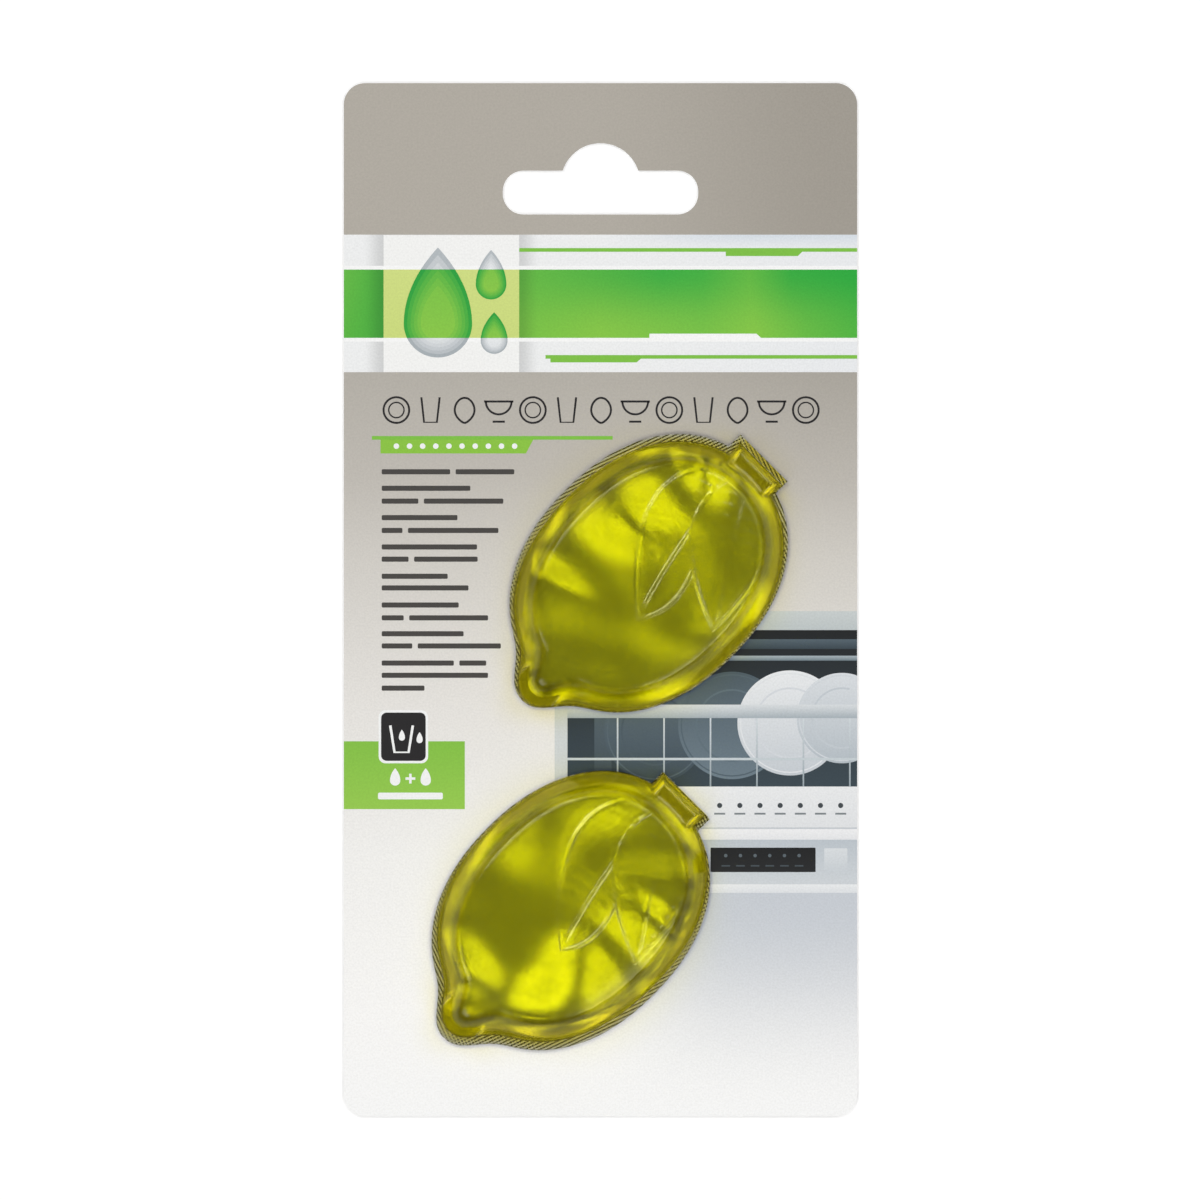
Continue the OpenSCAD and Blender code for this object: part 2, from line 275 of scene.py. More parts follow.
# The print on the card: thin layers of offset ink under the same varnish, in flat fields and soft vignettes.
# Each motif is laid as its own film on the board, and a colour attribute named ink holds its tone.
INK_T = 0.006 * MM
OLIVE_GREEN = "7FC342"
INK_BLACK = "1B191B"
WHITE_INK = "FCFCFB"
PAPER_WHITE = "F6F7F6"

# Offset ink: to the eye a flat tone with the board's own sheen and mottle.
offset_ink = new_material("offset_ink")
tone = add(offset_ink.node_tree, "ShaderNodeAttribute", attribute_name="ink")
varnish(offset_ink.node_tree, tone.outputs[0])


def start_print(name):
    """Opens an empty printed film for its shapes."""
    bpy.ops.object.select_all(action="DESELECT")
    mesh = bpy.data.meshes.new(name)
    mesh.color_attributes.new("ink", "FLOAT_COLOR", "CORNER")
    piece = bpy.data.objects.new(name, mesh)
    scene.collection.objects.link(piece)
    bpy.context.view_layer.objects.active = piece
    bpy.ops.object.mode_set(mode="EDIT")
    return piece


def lay(level, ink, low_ink=None):
    """Gives the open flat shape its ink's thickness and its tones from its top to its foot, and sets it."""
    bpy.ops.mesh.select_all(action="SELECT")
    bpy.ops.transform.translate(value=(0, 0, CARD_TOP + (level - 1) * INK_T))
    bpy.ops.mesh.extrude_region_move(TRANSFORM_OT_translate={"value": (0, 0, INK_T)})
    bpy.ops.mesh.select_all(action="SELECT")
    bpy.ops.mesh.normals_make_consistent(inside=False)
    built = bmesh.from_edit_mesh(bpy.context.object.data)
    layer = built.loops.layers.float_color["ink"]
    faces = [face for face in built.faces if not face.hide]
    heights = [corner.vert.co.y for face in faces for corner in face.loops]
    low, high = min(heights), max(heights)
    top_ink = np.array(to_linear(ink))
    foot_ink = np.array(to_linear(low_ink or ink))
    for face in faces:
        for corner in face.loops:
            share = (corner.vert.co.y - low) / (high - low)
            corner[layer] = top_ink * share + foot_ink * (1 - share)
    bpy.ops.mesh.hide()


def finish_print(piece):
    """Closes a printed film."""
    bpy.ops.mesh.reveal()
    bpy.ops.object.mode_set(mode="OBJECT")
    piece.data.materials.append(offset_ink)
    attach(piece, "root")


def bar(left, right, low, top, corner=0.0, slant=0.0):
    """A flat bar between its edges, with rounded corners or a slanted right end."""
    bpy.ops.mesh.primitive_plane_add(size=1, location=((left + right) / 2 * MM, (low + top) / 2 * MM, 0))
    bpy.ops.transform.resize(value=((right - left) * MM, (top - low) * MM, 1),
                             center_override=((left + right) / 2 * MM, (low + top) / 2 * MM, 0))
    if slant:
        built = bmesh.from_edit_mesh(bpy.context.object.data)
        for point in built.verts:
            if point.select and point.co.x > (left + right) / 2 * MM and point.co.y < (low + top) / 2 * MM:
                point.co.x -= slant * MM
    if corner:
        bpy.ops.mesh.bevel(offset=corner * MM, segments=5, affect="VERTICES")


def disc(x, y, radius, height=0.0):
    """A flat round spot, or with a height a drop whose point is that far above its middle."""
    bpy.ops.mesh.primitive_circle_add(vertices=64, radius=radius * MM, fill_type="NGON",
                                      location=(x * MM, y * MM, 0))
    if height:
        built = bmesh.from_edit_mesh(bpy.context.object.data)
        for point in built.verts:
            rise = min((point.co.y - y * MM) / (radius * MM), 1.0)
            if point.select and rise > 0:
                point.co.x = x * MM + (point.co.x - x * MM) * (1 - rise) ** 0.5 * (1 + 0.45 * rise)
                point.co.y = y * MM + rise * height * MM


def line(points, width, closed=False):
    """A flat ribbon of one width along a row of points."""
    way = np.array(points, float)
    before = np.roll(way, 1, 0)
    after = np.roll(way, -1, 0)
    if not closed:
        before[0] = way[0]
        after[-1] = way[-1]
    along = after - before
    along /= np.linalg.norm(along, axis=1)[:, None]
    across = np.stack([-along[:, 1], along[:, 0]], 1) * width / 2
    built = bmesh.from_edit_mesh(bpy.context.object.data)
    left = [built.verts.new((*((p + q) * MM), 0)) for p, q in zip(way, across)]
    right = [built.verts.new((*((p - q) * MM), 0)) for p, q in zip(way, across)]
    last = len(way) if closed else len(way) - 1
    for i in range(last):
        j = (i + 1) % len(way)
        built.faces.new((left[i], right[i], right[j], left[j]))
    bmesh.update_edit_mesh(bpy.context.object.data)


def ring(x, y, radius, start=0.0, end=360.0):
    """Points of an arc or a whole round, for a ribbon."""
    turns = np.radians(np.linspace(start, end, 49))
    return [(x + radius * math.cos(a), y + radius * math.sin(a)) for a in turns]


# The banner's stripes: white hairlines that edge the green band, and thin green lines with slanted tabs. They
# are printed over the banner's pale field, and one white tab over the band.
banner_print = start_print("banner_stripes")
for left, right, low, top, slant, level, ink in (
    (-42, 42, 53.99, 54.6, 0.0, 1, WHITE_INK), (-42, 42, 42.2, 42.81, 0.0, 1, WHITE_INK),
    (-13.3, 42, 56.9, 57.5, 0.0, 1, OLIVE_GREEN), (20.5, 33.0, 56.2, 56.9, 0.7, 1, OLIVE_GREEN),
    (-9.0, 42, 39.4, 40.0, 0.0, 1, OLIVE_GREEN), (-8.2, 6.6, 38.8, 39.4, 0.7, 1, OLIVE_GREEN),
    (8.0, 25.5, 42.81, 43.5, -0.8, 2, WHITE_INK),
):
    bar(left, right, low, top, slant=slant)
    lay(level, ink)
finish_print(banner_print)


def blend(first, second, share):
    """Mixes two hex tones."""
    pairs = [(int(first[i:i + 2], 16), int(second[i:i + 2], 16)) for i in (0, 2, 4)]
    return "".join("%02X" % round(a * (1 - share) + b * share) for a, b in pairs)


# Three drops of one soft shape lie over a white panel, grey outside the green band and green inside it. Each
# is printed as a vignette of nested steps, dark along its edge and light in its middle.
VIGNETTE = 6
VIGNETTE_STEP = 0.1
drop_panel = start_print("drop_panel")
for low, top, level, ink, low_ink in ((37.2, 59.65, 3, "F8F8F6", None), (42.81, 53.99, 4, "D3E184", "CFDF7E"),
                                      (53.99, 54.6, 4, "FDFDFC", None), (42.2, 42.81, 4, "FDFDFC", None)):
    bar(-35.5, -13.3, low, top)
    lay(level, ink, low_ink)
for x, y, radius, height in ((-26.6, 45.2, 5.6, 12.4), (-17.9, 51.6, 2.5, 5.6), (-17.4, 42.4, 2.2, 4.6)):
    for step in range(VIGNETTE):
        size = 1 - VIGNETTE_STEP * step
        share = (step / (VIGNETTE - 1)) ** 0.7
        disc(x, y, radius * size, height * size)
        lay(5 + step, blend("B7BEC2", "F1F3F4", share), blend("A9B1B6", "E6E9EB", share))
        disc(x, y, radius * size, height * size)
        for edge, side in ((BAND_TOP, 1), (BAND_LOW, -1)):
            bpy.ops.mesh.select_all(action="SELECT")
            bpy.ops.mesh.bisect(plane_co=(0, edge, 0), plane_no=(0, side, 0), clear_outer=True, threshold=1e-7)
        if any(not face.hide for face in bmesh.from_edit_mesh(bpy.context.object.data).faces):
            lay(5 + VIGNETTE + step, blend("1FA23A", "7CC642", share), blend("2FA83A", "8ACB43", share))
finish_print(drop_panel)

# The row of tableware marks over the capsules: plate, tumbler, lemon and bowl in turn, in one thin black
# line. They are printed straight on the grey field.
MARK_LINE = 0.34
THIN_LINE = 0.24
row = start_print("tableware_row")
for n, x in enumerate(np.linspace(-33.4, 33.6, 13)):
    kind = n % 4
    if kind == 0:
        line(ring(x, 31.0, 2.1)[:-1], MARK_LINE, closed=True)
        lay(1, INK_BLACK)
        line(ring(x, 31.0, 1.25)[:-1], THIN_LINE, closed=True)
        lay(1, INK_BLACK)
    elif kind == 1:
        line([(x - 1.5, 33.1), (x - 1.05, 29.0), (x + 1.05, 29.0), (x + 1.5, 33.1)], MARK_LINE)
        lay(1, INK_BLACK)
    elif kind == 2:
        line([(x + 1.7 * math.sin(a) * (1 - 0.5 * abs(math.cos(a / 2)) ** 6), 30.5 - 1.6 * math.cos(a)
               + 0.9 * (1 - math.cos(a)) ** 2 / 4) for a in np.linspace(0, 2 * math.pi, 48, endpoint=False)],
             MARK_LINE, closed=True)
        lay(1, INK_BLACK)
    else:
        for way in (ring(x, 32.4, 2.1, 180, 360), [(x - 2.4, 32.4), (x + 2.4, 32.4)],
                    [(x - 1.0, 29.1), (x + 1.0, 29.1)]):
            line(way, MARK_LINE)
            lay(1, INK_BLACK)
finish_print(row)

# The green tag: a hairline and a slanted tab with a row of small white dots, printed in two passes.
tag = start_print("green_tag")
bar(-37.4, 2.0, 26.15, 26.75)
lay(1, OLIVE_GREEN)
bar(-36.0, -11.0, 23.9, 26.15, slant=1.2)
lay(1, "8CC63F")
for x in np.arange(-33.4, -14.0, 2.15):
    disc(x, 25.1, 0.45)
    lay(2, PAPER_WHITE)
finish_print(tag)

# The block of short bars beside the capsules: dark grey, in rows that go in pairs, with small rounded ends.
BAR_GREY = "45423F"
BAR_ROWS = (20.9, 18.2, 16.1, 13.4, 11.3, 8.6, 6.6, 3.8, 1.9, -0.9, -3.0, -5.6, -7.6, -10.4, -12.4, -14.5)
BAR_LENGTHS = ((11.2, 9.6), (14.5,), (6.0, 13.0), (12.4,), (3.4, 14.8), (15.6,), (4.4, 10.4), (10.8,), (14.2,),
               (12.6,), (3.6, 12.9), (13.4,), (5.0, 13.6), (11.8, 4.4), (17.4,), (7.0,))
BAR_HALF = 0.42
BAR_GAP = 0.9
small_print = start_print("small_print")
for y, lengths in zip(BAR_ROWS, BAR_LENGTHS):
    x = -35.8
    for length in lengths:
        bar(x, x + length, y - BAR_HALF, y + BAR_HALF, corner=0.2)
        lay(1, BAR_GREY)
        x += length + BAR_GAP
finish_print(small_print)

# The mark at the lower left: a green field at the card's edge, a black tile with a tumbler and two drops in
# white, and two more drops with a cross and a bar under it. Each tone is printed over the last.
mark = start_print("drops_mark")
bar(-42, -22.2, -34.3, -23.2)
lay(1, "84C241", "97CC4C")
bar(-36.3, -28.2, -26.8, -18.1, corner=1.1)
lay(2, PAPER_WHITE)
bar(-35.9, -28.6, -26.4, -18.5, corner=0.9)
lay(3, INK_BLACK)
line([(-34.4, -20.6), (-33.7, -25.0), (-31.4, -25.0), (-30.7, -20.6)], 0.42)
lay(4, PAPER_WHITE)
for x, y in ((-29.6, -23.0), (-32.5, -22.6)):
    disc(x, y, 0.5, 1.3)
    lay(4, PAPER_WHITE)
for x in (-33.6, -28.6):
    disc(x, -29.6, 0.85, 2.0)
    lay(2, PAPER_WHITE)
bar(-31.9, -30.3, -29.5, -29.1)
lay(2, PAPER_WHITE)
bar(-31.3, -30.9, -30.1, -28.5)
lay(3, PAPER_WHITE)
bar(-36.4, -25.8, -32.7, -31.6, corner=0.25)
lay(2, PAPER_WHITE)
finish_print(mark)

# The picture field: plates in a wire rack, over the pale front of a machine with its keys and its display.
# Flat shades are laid from the picture's back to its front, each with its left, right, low and top edges, its
# level over the board, and its tones at the top and at the foot.
picture = start_print("rack_picture")
for left, right, low, top, level, ink, low_ink in (
    (-7.5, 42, -5.0, -1.9, 1, "CBD1D1", "BFC7C8"), (-7.5, 42, -30.6, -5.0, 1, "0F1316", "35444D"),
    (-7.5, -5.4, -30.6, -5.0, 2, "C9CFD0", "D3D7D8"), (-5.4, 42, -8.1, -6.5, 2, "52626C", "33414A"),
    (8.0, 42, -10.0, -9.2, 2, "A9B6BC", "6C7C85"), (-1.0, 1.8, -30.6, -9.2, 2, "5C6B73", "3B4952"),
):
    bar(left, right, low, top)
    lay(level, ink, low_ink)
PLATE_POINTS = 96
CARD_EDGE = 42.0
level = 3
for x, y, radius, tones in ((9.0, -21.5, 8.4, ("5D6D77", "3A4953")), (21.5, -20.6, 8.8, ("4A5963", "6C7D88")),
                            (31.0, -20.2, 8.6, ("ECEEF0", "C9CFD5")), (39.5, -19.4, 7.4, ("DDE1E5", "B7C0C7"))):
    turns = np.linspace(0, 2 * math.pi, PLATE_POINTS + 1)[:-1]
    inside = [(min(x + radius * math.cos(a), CARD_EDGE), y + radius * math.sin(a)) for a in turns]
    built = bmesh.from_edit_mesh(bpy.context.object.data)
    built.faces.new([built.verts.new((u * MM, v * MM, 0)) for u, v in inside])
    bmesh.update_edit_mesh(bpy.context.object.data)
    bpy.ops.mesh.select_all(action="SELECT")
    bpy.ops.mesh.remove_doubles(threshold=1e-6)
    lay(level, *tones)
    for share, width, mix in ((0.94, 0.22, 0.25), (0.66, 0.3, 0.6)):
        whole = ring(x, y, radius * share)
        if max(point[0] for point in whole) < CARD_EDGE - 0.2:
            line(whole[:-1], width, closed=True)
        else:
            line(ring(x, y, radius * share, 75, 285), width)
        lay(level + 1, blend(*tones, mix))
    level += 2
bar(-5.4, 42, -19.4, -17.2)
lay(level, "DDE1E4", "A7B2B9")
for x in np.arange(2.8, 41.0, 7.6):
    line([(x, -30.6), (x, -19.4)], 0.26)
    lay(level + 1, "D5DCE0", "9BA8AF")
for left, right, low, top, level, ink, low_ink, corner in (
    (-5.4, 42, -26.3, -25.9, level + 2, "C9D2D6", None, 0.0),
    (-7.5, 42, -37.4, -30.6, 1, "EDEEEF", "E4E6E8", 0.0),
    (-7.5, 42, -39.3, -37.4, 1, "F4F4F5", "E9EAEC", 0.0),
    (-7.5, 42, -37.55, -37.3, 2, "C7CCD1", None, 0.0),
    (-7.5, 42, -46.6, -39.3, 1, "BFC7CE", "D2D7DB", 0.0),
    (-7.5, 42, -48.0, -46.6, 1, "EDEFF0", "E2E5E8", 0.0),
    (18.0, 35.2, -44.6, -40.6, 2, "0E1012", "1B1D1F", 0.15),
    (36.6, 40.4, -44.4, -40.7, 2, "DDE1E4", "CDD3D8", 0.15),
):
    bar(left, right, low, top, corner=corner)
    lay(level, ink, low_ink)
for places, y, radius, half, low, top, level, spot, dash in (
    (np.arange(20.5, 34.0, 2.4), -41.9, 0.28, 0.7, -43.7, -43.45, 3, "59646B", "424C52"),
    (np.arange(19.5, 41.0, 3.3), -33.7, 0.42, 0.9, -35.2, -34.9, 2, "3E454A", "7D8488"),
):
    for x in places:
        disc(x, y, radius)
        lay(level, spot)
        bar(x - half, x + half, low, top)
        lay(level, dash)
finish_print(picture)

# The lemon capsules: clear PET sheet, thermoformed over one mould, filled with gel and heat-sealed to a lid of
# membrane and aluminium foil, cut in one go with the flange. Sizes are in millimetres, and a capsule is drawn
# about its own middle, with its stem along +X, before it is turned and placed.
BODY_A = 23.8
BODY_B = 18.4
FULLNESS = 2.2
NIPPLE_L = 4.7
NIPPLE_W = 4.2
NIPPLE_BLUNTNESS = 2.3
NIPPLE_ROOT = 14.0
NIPPLE_NARROWING = 0.6
STEM_L = 2.0
STEM_W = 4.6
SHEET_T = 0.4
SHOULDER_H = 6.4
SHOULDER_W = 3.5
CROWN_H = 1.1
CROWN_SPREAD = 1.15
STEM_H = 4.0
SHELF_L = 1.8
SHELF_RISE = 1.0
FLANGE_W = 0.85
CAPSULE_TURN = math.radians(45)
SHOULDER_FULLNESS = 1.5
LEAF_BASE = 22.9
LEAF_POWER = 0.6
FILLET = 0.35
FILLET_GAIN = 0.1
WALL_T = 0.2
GEL_GAP = 0.02
LID_GAP = 0.03
FLANGE_GAP = 0.001
CROWN_DEPTH = 15.0
CAPSULES = {
    "upper": {"centre": (7.9, 3.8), "cut": (0.35, 0.35)},
    "lower": {"centre": (-4.6, -50.2), "cut": (-0.7, -0.35)},
}
HALF = 210
STEM_STEPS = 16
CROWDING = 0.16


def smooth(x):
    """Share that rises softly from 0 to 1."""
    t = np.clip(x, 0, 1)
    return t * t * (3 - 2 * t)


def body_reach(angle, grow):
    """How far the lemon's round body reaches in a direction."""
    cosine = np.abs(np.cos(angle)) / (BODY_A + grow)
    sine = np.abs(np.sin(angle)) / (BODY_B + grow)
    return (cosine ** FULLNESS + sine ** FULLNESS) ** (-1 / FULLNESS)


def directions(grow):
    """Directions of the points on half of the outline, from the stem round to the nipple."""
    grow = max(grow, -SHEET_T - 0.05 - SHELF_RISE)
    corner = math.atan2(STEM_W + grow, BODY_A + STEM_L + grow)
    side = STEM_W + grow
    foot = math.atan2(side, (BODY_A + grow) * (1 - (side / (BODY_B + grow)) ** FULLNESS) ** (1 / FULLNESS))
    way = np.linspace(0, 1, HALF - STEM_STEPS)
    rest = foot + (math.pi - foot) * (way + CROWDING * np.sin(math.pi * way))
    return np.concatenate([corner * np.arange(STEM_STEPS + 1) / STEM_STEPS, rest])


def outline(grow, stem_share=1.0):
    """The lemon's outline grown by a distance, and how far the stem carries each point past the body."""
    half = directions(grow)
    angle = np.concatenate([half, -half[-2:0:-1]])
    j = np.concatenate([np.arange(HALF + 1), np.arange(HALF - 1, 0, -1)])
    body = body_reach(angle, grow)
    on_stem = j <= STEM_STEPS
    stem = stem_share * ((BODY_A + STEM_L + grow) / np.cos(angle) - body)
    width = NIPPLE_W + grow * NIPPLE_NARROWING
    nipple = NIPPLE_L * smooth(1 + grow / NIPPLE_ROOT) * np.exp(-(np.abs(body * np.sin(angle)) / width)
                                                                ** NIPPLE_BLUNTNESS)
    past = np.where(on_stem, stem, np.where(np.cos(angle) < 0, nipple, 0))
    points = (body + past)[:, None] * np.stack([np.cos(angle), np.sin(angle)], 1)
    return points, np.where(on_stem, stem, 0)


def quarter(x, fullness=2.0):
    """Height of a quarter round, from 0 at its foot to 1 at its top."""
    t = np.clip(x, 0, 1)
    return (1 - (1 - t) ** fullness) ** (1 / fullness)


def crown(p):
    """Height of the crown's soft swell over the shoulder."""
    r2 = (p[:, 0] / BODY_A) ** 2 + (p[:, 1] / BODY_B) ** 2
    return CROWN_H * smooth(CROWN_SPREAD * (1 - r2))


def leaf_edge(t, power):
    """Half width of a leaf along it, from 0 at its stem and its tip to 1 at its widest."""
    peak = power / (power + 1)
    inside = np.clip(t, 1e-6, 1)
    return np.where((t > 0) & (t < 1), inside ** power * (1 - inside), 0) / (peak ** power * (1 - peak))


# The leaves are embossed by the mould: heights of the plate, its beaded edge, its midrib and its side veins,
# then their half widths, how far the bead lies in, and the veins' pitch, arch and slant.
PLATE_H = 0.11
BEAD_H = 0.15
RIB_H = 0.13
VEIN_H = 0.045
BEAD_W = 0.27
RIB_W = 0.38
VEIN_W = 0.19
BEAD_IN = 0.55
VEIN_PITCH = 1.9
VEIN_ARCH = 4.4
VEIN_SLANT = 1.5
# Each leaf has its length, its turn, its half widths on the outer and the inner side, the power that shapes
# its inner side, and how far its midrib bows. The narrow leaf lies over the broad one by the lap.
BROAD_LEAF = (29.7, 187, 10.3, 3.4, 3.0, 0.2)
NARROW_LEAF = (26, 212, 7.5, 6.2, LEAF_POWER, 0.06)
LEAF_LAP = 0.06
LAP_FADE = 0.4


def leaf(p, length, turn, outer, inner, tail, bow):
    """Embossed leaf: a low plate with a beaded edge, a round midrib and fine arched side veins."""
    turn = math.radians(turn)
    x, y = p[:, 0] - LEAF_BASE, p[:, 1]
    along = (x * math.cos(turn) + y * math.sin(turn)) / length
    side = x * math.sin(turn) - y * math.cos(turn)
    upper = outer * leaf_edge(along, LEAF_POWER)
    lower = inner * leaf_edge(along, tail)
    inside = np.minimum(upper - side, side + lower)
    off = side - bow * upper
    plate = smooth(inside / 0.5)
    bead = np.exp(-((inside - BEAD_IN) / BEAD_W) ** 2)
    rib = np.exp(-(off / RIB_W) ** 2) * smooth((1 - along) * 8)
    half = np.where(off > 0, upper * (1 - bow), lower + bow * upper) + 1e-6
    reach = np.clip(np.abs(off) / half, 0, 1)
    phase = (along * length + VEIN_ARCH * reach * (1 - reach) - VEIN_SLANT * reach) / VEIN_PITCH
    vein = np.exp(-((phase - np.round(phase)) / VEIN_W) ** 2)
    vein = vein * smooth((inside - 1.0) / 0.5) * smooth(np.abs(off) - 0.5)
    return plate * (PLATE_H + BEAD_H * bead + RIB_H * rib + VEIN_H * vein), inside


def relief(p):
    """Height of the two leaves on the crown, the narrow one over the broad one."""
    broad, _ = leaf(p, *BROAD_LEAF)
    narrow, inside = leaf(p, *NARROW_LEAF)
    cover = smooth(inside / LAP_FADE)
    return broad * (1 - cover) + (narrow + LEAF_LAP) * cover


# Painted shade: the sheet is darkened in a band round the shoulder, in place of the dark band that refraction
# makes there. It is tinted amber along its foot and over the stem. The sizes are where each tint lies, a way
# in from the outline or from the stem's root and sides, and how it fades.
CLEAR_TINT = np.array(to_linear("FCFCF9")[:3])
SHOULDER_PAINTED_SHADE = np.array(to_linear("DFDBBC")[:3])
FOOT_TINT = np.array(to_linear("FEFACB")[:3])
SHADE_BAND_MIDDLE = 2.6
SHADE_BAND_HALF = 0.75
FOOT_END = 1.2
FOOT_FADE = 0.9
STEM_BACK = 1.6
STEM_FADE = 1.4
STEM_BESIDE = 0.6
STEM_SIDE_FADE = 0.8


def painted_shade_and_amber(p, d):
    """Tint of the sheet a way in from the outline: painted shade round the shoulder, amber at its foot and
    stem.
    """
    # Painted shade: a dark band round the shoulder, standing in for the shade that refraction makes there.
    painted_shade = np.full(len(p), math.exp(-((d - SHADE_BAND_MIDDLE) / SHADE_BAND_HALF) ** 2))
    foot = 1 - smooth((d - FOOT_END) / FOOT_FADE)
    stem = smooth((p[:, 0] - BODY_A + STEM_BACK) / STEM_FADE)
    stem = stem * smooth((STEM_W + STEM_BESIDE - np.abs(p[:, 1])) / STEM_SIDE_FADE)
    painted_shade = (painted_shade * (1 - stem))[:, None]
    amber = np.maximum(foot, stem)[:, None]
    tint = CLEAR_TINT * (1 - painted_shade) + SHOULDER_PAINTED_SHADE * painted_shade
    return tint * (1 - amber) + FOOT_TINT * amber


def wall_ring(inset, base, d):
    """One ring of the wall and shoulder, a way in from the outline, with the stem's low shelf."""
    p, past = outline(-inset - d, 1 - smooth(d / SHELF_L))
    shelf = np.minimum(BODY_A + STEM_L - inset - p[:, 0], STEM_W - inset - np.abs(p[:, 1]))
    height = np.maximum(SHOULDER_H * quarter((d - past) / SHOULDER_W, SHOULDER_FULLNESS),
                        STEM_H * quarter(shelf / SHELF_RISE))
    return p, base + height + crown(p)


def dome_rings(inset, foot, base, steps, rings):
    """One skin of the dome, from a small fillet at its foot to the ring next to the middle."""
    made = []
    radius = FILLET + min(inset, FILLET_GAIN)
    for k in range(5):
        turn = math.pi / 2 * k / 4
        p, _ = outline(radius * (1 - math.sin(turn)) - inset)
        made.append((p, np.full(len(p), foot + radius * (1 - math.cos(turn))), 0.0))
    for k in range(1, steps + 1):
        d = SHOULDER_W * (1 - math.cos(math.pi / 2 * k / steps))
        p, z = wall_ring(inset, base, d)
        made.append((p, np.maximum(z, foot + radius), d))
    edge, _ = outline(-inset - SHOULDER_W, 0)
    for k in range(1, rings):
        p = edge * (1 - k / rings)
        made.append((p, base + SHOULDER_H + crown(p) + relief(p), SHOULDER_W + CROWN_DEPTH * k / rings))
    return made


def closed_skin(name, first, rings, last, capsule, seal=None, tints=None):
    """Mesh over a stack of rings from a first to a last middle height, laid where the capsule is on the card.

    seal says for each ring whether it is pressed with the seal's knurl. tints gives each ring's tint and
    painted shade.
    """
    n = len(rings[0][0])
    points = [np.array([[0, 0, first]])]
    points += [np.column_stack([ring[0], ring[1]]) for ring in rings]
    points.append(np.array([[0, 0, last]]))
    local = np.concatenate(points)
    x0, y0 = CAPSULES[capsule]["centre"]
    c, s = math.cos(CAPSULE_TURN), math.sin(CAPSULE_TURN)
    world = np.column_stack([x0 + c * local[:, 0] - s * local[:, 1], y0 + s * local[:, 0] + c * local[:, 1],
                             local[:, 2]]) * MM
    i = np.arange(n)
    after = (i + 1) % n
    faces = np.column_stack([np.zeros(n, int), 1 + after, 1 + i]).tolist()
    for r in range(len(rings) - 1):
        a, b = 1 + r * n, 1 + (r + 1) * n
        faces += np.column_stack([a + i, a + after, b + after, b + i]).tolist()
    a = 1 + (len(rings) - 1) * n
    faces += np.column_stack([a + i, a + after, np.full(n, a + n)]).tolist()
    mesh = bpy.data.meshes.new(name)
    mesh.from_pydata(world.tolist(), [], faces)
    if seal:
        pressed = mesh.attributes.new("seal", "FLOAT", "POINT")
        pressed.data.foreach_set("value", np.concatenate([[0.0], np.repeat(seal, n), [0.0]]))
    if tints:
        tinted = mesh.attributes.new("shade_and_amber_tint", "FLOAT_COLOR", "POINT")
        tones = np.concatenate([[CLEAR_TINT], *tints, [CLEAR_TINT]])
        tinted.data.foreach_set("color", np.column_stack([tones, np.ones(len(tones))]).ravel())
    piece = bpy.data.objects.new(name, mesh)
    scene.collection.objects.link(piece)
    bpy.ops.object.select_all(action="DESELECT")
    piece.select_set(True)
    bpy.context.view_layer.objects.active = piece
    bpy.ops.object.shade_smooth_by_angle(angle=math.radians(50))
    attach(piece, "root")
    return piece


FOIL_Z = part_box("upper_foil")[0][2] / MM
FLANGE_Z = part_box("upper_shell")[0][2] / MM

# Clear PET sheet, thermoformed: to the eye no more than a faint soft gloss over the gel. Its inner side
# mirrors nothing, because the gel wets it. The thermoformed skin's ripple is 0.3 mm wide and 0.01 mm deep.
SHEET_MIRROR = 0.025
clear_pet = new_material("clear_pet")
tree = clear_pet.node_tree
noise, bump = grain_bump(tree, 0.3, 0.010)
side = add(tree, "ShaderNodeNewGeometry")
outer = add(tree, "ShaderNodeMath", {0: 1.0, 1: side.outputs["Backfacing"]}, operation="SUBTRACT")
outer = add(tree, "ShaderNodeMath", {0: outer.outputs[0], 1: SHEET_MIRROR}, operation="MULTIPLY")
# The sheet lets less through where shade is painted round its shoulder, and turns amber at its foot and stem.
shade_and_amber_tint = add(tree, "ShaderNodeAttribute", attribute_name="shade_and_amber_tint")
through = add(tree, "ShaderNodeBsdfTransparent", {"Color": shade_and_amber_tint.outputs["Color"]})
gloss = add(tree, "ShaderNodeBsdfGlossy", {"Color": to_linear("FFFFFF"), "Roughness": 0.14,
                                           "Normal": bump.outputs[0]})
mixed = add(tree, "ShaderNodeMixShader", {0: outer.outputs[0], 1: through.outputs[0], 2: gloss.outputs[0]})
add(tree, "ShaderNodeOutputMaterial", {"Surface": mixed.outputs[0]})

# Scented gel, cast clear and dyed yellow: light goes through it to the foil and back and turns olive on its
# way, and a fine cloud with specks of 0.3 mm keeps the foil's mirror soft. Lamp light passes it, as it does
# the real gel.
GEL_CLOUD = 0.24
yellow_gel = new_material("yellow_gel")
tree = yellow_gel.node_tree
path = add(tree, "ShaderNodeLightPath")
noise, bump = grain_bump(tree, 0.3, 0.010)
speck = add(tree, "ShaderNodeMapRange", {0: noise.outputs[0], 1: 0.3, 2: 0.7, 3: 0.62, 4: 1.12})
clear_tone, cloud_tone = (
    add(tree, "ShaderNodeMix", {0: 1.0, 6: to_linear(code), 7: speck.outputs[0]}, data_type="RGBA",
        blend_type="MULTIPLY").outputs[2]
    for code in ("FEFEF3", "AAAA1C")
)
clear = add(tree, "ShaderNodeBsdfPrincipled", {
    "Base Color": clear_tone, "Roughness": 0.1, "IOR": 1.4, "Transmission Weight": 1.0,
    "Specular IOR Level": 0.2, "Normal": bump.outputs[0],
})
cloud = add(tree, "ShaderNodeBsdfDiffuse", {"Color": cloud_tone, "Normal": bump.outputs[0]})
